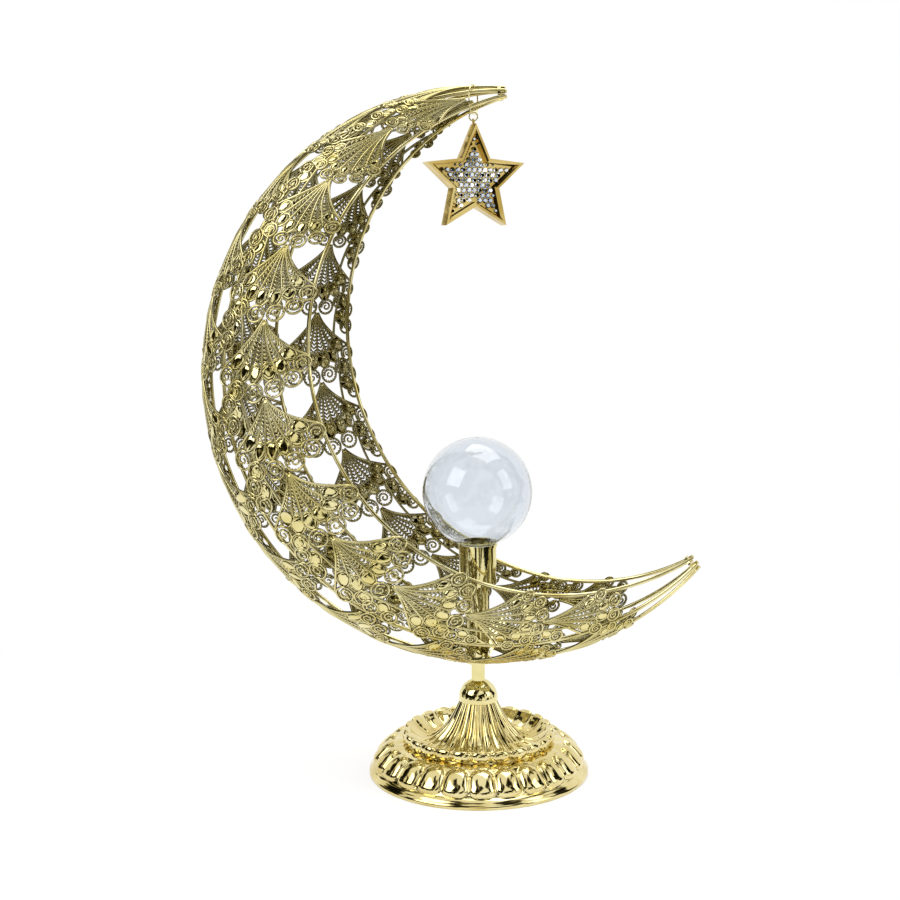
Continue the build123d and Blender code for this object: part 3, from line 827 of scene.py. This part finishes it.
# Stones of the star
def star_clearance(x, y):
    """Distance of a point inside the star from the nearest edge of its outline."""
    sector = 2 * math.pi / STAR_TIPS
    turn = math.atan2(x, y)
    turn = abs(turn - sector * round(turn / sector))
    reach = math.hypot(x, y)
    edge = np.array((math.sin(sector / 2), math.cos(sector / 2))) * STAR_INNER_RADIUS - (0, STAR_RADIUS)
    offset = np.array((reach * math.sin(turn), reach * math.cos(turn) - STAR_RADIUS))
    return float(offset[0] * edge[1] - offset[1] * edge[0]) / float(np.linalg.norm(edge))


def gem(parts, place, radius, axes, draws):
    """Round stone with a table and a ring of pointed facets, tilted a little in its setting."""
    turns = np.arange(GEM_SIDES) * 2 * math.pi / GEM_SIDES
    tilt = draws.uniform(-GEM_TILT, GEM_TILT, 2)
    rings = []
    for share, level, shift in GEM_RINGS:
        angle = turns + shift * 2 * math.pi / GEM_SIDES
        flat = radius * share * np.stack((np.cos(angle), np.sin(angle)), axis=1)
        rise = GEM_HEIGHT * level * radius / GEM_RADIUS + (flat @ tilt if level else 0)
        rings.append(np.column_stack((flat + place, np.broadcast_to(rise, GEM_SIDES))))
    faces = []
    for k in range(GEM_SIDES):
        after = (k + 1) % GEM_SIDES
        low, middle, high = k, GEM_SIDES + k, 2 * GEM_SIDES + k
        faces.append((low, after, GEM_SIDES + after, middle))
        faces.append((middle, GEM_SIDES + after, high))
        faces.append((GEM_SIDES + after, 2 * GEM_SIDES + after, high))
    faces.append(tuple(range(2 * GEM_SIDES, 3 * GEM_SIDES)))
    faces.append(tuple(reversed(range(GEM_SIDES))))
    parts.add(STAR_CENTRE + np.vstack(rings) @ axes, faces)


def star_gems():
    """Close rows of stones over the star's field, smaller towards the tips."""
    facing = math.radians(STAR_FACING)
    forward = np.array((math.sin(facing), -math.cos(facing), 0))
    axes = np.array(((math.cos(facing), math.sin(facing), 0), (0, 0, 1), forward))
    draws = np.random.default_rng(GEM_SEED)
    parts = MeshParts()
    row_pitch = GEM_PITCH * math.sqrt(3) / 2
    reach = int(STAR_RADIUS / row_pitch) + 1
    for row in range(-reach, reach + 1):
        for column in range(-reach, reach + 1):
            place = np.array(((column + 0.5 * (row % 2)) * GEM_PITCH, row * row_pitch))
            radius = min(GEM_RADIUS, star_clearance(*place) - STAR_LIP)
            if radius > GEM_LEAST_RADIUS:
                gem(parts, place, radius, axes, draws)
    for points in parts.points:
        points += forward * STAR_FIELD
    piece = parts.build("star_gems", rhinestone, smooth=False)
    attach(piece, "star")
    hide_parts("star_stones")


star_gems()


# Camera
def make_camera():
    """Camera with the pan, pitch and roll of the photograph."""
    azimuth = math.radians(CAMERA_AZIMUTH)
    level_right = Vector((math.cos(azimuth), math.sin(azimuth), 0))
    level_forward = Vector((-math.sin(azimuth), math.cos(azimuth), 0))
    up = Vector((0, 0, 1))
    position = up * CAMERA_HEIGHT - level_forward * CAMERA_DISTANCE
    forward = level_forward * math.cos(CAMERA_PAN) + level_right * math.sin(CAMERA_PAN)
    right = level_right * math.cos(CAMERA_PAN) - level_forward * math.sin(CAMERA_PAN)
    view = forward * math.cos(CAMERA_PITCH) + up * math.sin(CAMERA_PITCH)
    top = up * math.cos(CAMERA_PITCH) - forward * math.sin(CAMERA_PITCH)
    rolled_right = right * math.cos(CAMERA_ROLL) + top * math.sin(CAMERA_ROLL)
    rolled_top = top * math.cos(CAMERA_ROLL) - right * math.sin(CAMERA_ROLL)
    data = bpy.data.cameras.new("camera")
    data.sensor_width = SENSOR_WIDTH
    data.lens = CAMERA_LENS
    camera = bpy.data.objects.new("camera", data)
    axes = Matrix((rolled_right, rolled_top, -view)).transposed().to_4x4()
    camera.matrix_world = Matrix.Translation(position * MM) @ axes
    bpy.context.scene.collection.objects.link(camera)
    bpy.context.scene.camera = camera


make_camera()


# Floor, surroundings and lamps, in metres and watts
FLOOR_HALF_SIZE = 0.6
FLOOR_GREY = 0.92
FLOOR_NEAR = 0.10
FLOOR_FAR = 0.55
FLOOR_NEAR_WHITE = 0.62
ROOM_PATCHES = 3.4


def make_floor():
    """Pale floor that keeps a soft shadow near the object and is white further away."""
    signs = ((-1, -1), (1, -1), (1, 1), (-1, 1))
    corners = [(x * FLOOR_HALF_SIZE, y * FLOOR_HALF_SIZE, 0) for x, y in signs]
    mesh = bpy.data.meshes.new("floor")
    mesh.from_pydata(corners, [], [(0, 1, 2, 3)])
    material, tree, shader = new_material("floor")
    place = tree.nodes.new("ShaderNodeTexCoord")
    distance = tree.nodes.new("ShaderNodeVectorMath")
    distance.operation = "LENGTH"
    share = tree.nodes.new("ShaderNodeMapRange")
    set_range(share, (FLOOR_NEAR, FLOOR_FAR), (FLOOR_NEAR_WHITE, 1.0))
    glow = add_node(tree, "ShaderNodeEmission", Strength=1.0)
    mix = add_node(tree, "ShaderNodeMixShader")
    shown = tree.nodes.new("ShaderNodeMath")
    shown.operation = "MULTIPLY"
    tree.links.new(place.outputs["Object"], distance.inputs[0])
    tree.links.new(distance.outputs["Value"], share.inputs["Value"])
    tree.links.new(share.outputs["Result"], shown.inputs[0])
    tree.links.new(background_rays(tree), shown.inputs[1])
    tree.links.new(shown.outputs["Value"], mix.inputs["Fac"])
    tree.links.new(shader.outputs["BSDF"], mix.inputs[1])
    tree.links.new(glow.outputs["Emission"], mix.inputs[2])
    tree.links.new(mix.outputs["Shader"], tree.nodes["Material Output"].inputs["Surface"])
    shader.inputs["Base Color"].default_value = (FLOOR_GREY, FLOOR_GREY, FLOOR_GREY, 1)
    shader.inputs["Roughness"].default_value = 0.8
    mesh.materials.append(material)
    floor = bpy.data.objects.new("floor", mesh)
    bpy.context.scene.collection.objects.link(floor)


def background_rays(tree):
    """Output that is one for rays which see the background as it is."""
    rays = tree.nodes.new("ShaderNodeLightPath")
    largest = rays.outputs["Is Camera Ray"]
    for name in ("Is Glossy Ray", "Is Transmission Ray"):
        step = tree.nodes.new("ShaderNodeMath")
        step.operation = "MAXIMUM"
        tree.links.new(largest, step.inputs[0])
        tree.links.new(rays.outputs[name], step.inputs[1])
        largest = step.outputs["Value"]
    return largest


# Tones of the room along the range of its noise, from its dark parts to its lights
ROOM_STOPS = (
    (0.45, (0.005, 0.005, 0.004, 1)),
    (0.50, (0.04, 0.035, 0.014, 1)),
    (0.525, (0.16, 0.142, 0.07, 1)),
    (0.545, (0.50, 0.475, 0.36, 1)),
    (0.56, (1.0, 1.0, 0.97, 1)),
)
# Direction, range of its reach and how far it lifts the room's tone: the white backdrop and the ceiling
ROOM_LIFTS = (
    ((0, 1, 0), (0.35, 0.85), 0.30),
    ((0, 0, 1), (0.45, 0.95), 0.12),
)
# Name, place, target, size and power of each lamp
LAMPS = (
    ("key_lamp", (-0.9, -1.0, 1.1), (0, 0, 0.25), (0.9, 1.0), 8.0),
    ("fill_lamp", (1.4, -0.2, 0.9), (0, 0, 0.25), (0.6, 1.0), 4.0),
    ("top_lamp", (0.1, 0.3, 1.5), (0, 0, 0.2), (1.2, 0.9), 8.0),
)


def make_world():
    """White surroundings, also through glass. Reflections show light and dark parts of a studio room."""
    world = bpy.data.worlds.new("studio")
    world.use_nodes = True
    tree = world.node_tree
    background = tree.nodes["Background"]
    place = tree.nodes.new("ShaderNodeTexCoord")
    cloud = add_node(tree, "ShaderNodeTexNoise", Scale=ROOM_PATCHES, Detail=1.0)
    room = tree.nodes.new("ShaderNodeValToRGB")
    stops = room.color_ramp.elements
    stops.remove(stops[1])
    stops[0].position, stops[0].color = ROOM_STOPS[0]
    for position, colour in ROOM_STOPS[1:]:
        stops.new(position).color = colour
    rays = tree.nodes.new("ShaderNodeLightPath")
    mix = tree.nodes.new("ShaderNodeMix")
    mix.data_type = "RGBA"
    mix.inputs["A"].default_value = (1, 1, 1, 1)
    tree.links.new(place.outputs["Generated"], cloud.inputs["Vector"])
    tone = cloud.outputs["Fac"]
    for direction, given, lift in ROOM_LIFTS:
        lean = tree.nodes.new("ShaderNodeVectorMath")
        lean.operation = "DOT_PRODUCT"
        lean.inputs[1].default_value = direction
        reach = tree.nodes.new("ShaderNodeMapRange")
        set_range(reach, given, (0.0, lift))
        total = tree.nodes.new("ShaderNodeMath")
        tree.links.new(place.outputs["Generated"], lean.inputs[0])
        tree.links.new(lean.outputs["Value"], reach.inputs["Value"])
        tree.links.new(reach.outputs["Result"], total.inputs[0])
        tree.links.new(tone, total.inputs[1])
        tone = total.outputs["Value"]
    tree.links.new(tone, room.inputs["Fac"])
    mirrored = tree.nodes.new("ShaderNodeMath")
    mirrored.operation = "GREATER_THAN"
    tree.links.new(rays.outputs["Is Glossy Ray"], mirrored.inputs[0])
    tree.links.new(rays.outputs["Is Transmission Ray"], mirrored.inputs[1])
    tree.links.new(mirrored.outputs["Value"], mix.inputs["Factor"])
    tree.links.new(room.outputs["Color"], mix.inputs["B"])
    tree.links.new(mix.outputs["Result"], background.inputs["Color"])
    bpy.context.scene.world = world


def area_lamp(name, place, target, size, power):
    """Soft rectangular lamp aimed at a point."""
    data = bpy.data.lights.new(name, "AREA")
    data.shape = "RECTANGLE"
    data.size, data.size_y = size
    data.energy = power
    lamp = bpy.data.objects.new(name, data)
    lamp.location = place
    lamp.rotation_euler = (Vector(target) - Vector(place)).to_track_quat("-Z", "Y").to_euler()
    bpy.context.scene.collection.objects.link(lamp)


make_floor()
make_world()
for lamp in LAMPS:
    area_lamp(*lamp)
bpy.context.scene.view_settings.view_transform = "Standard"
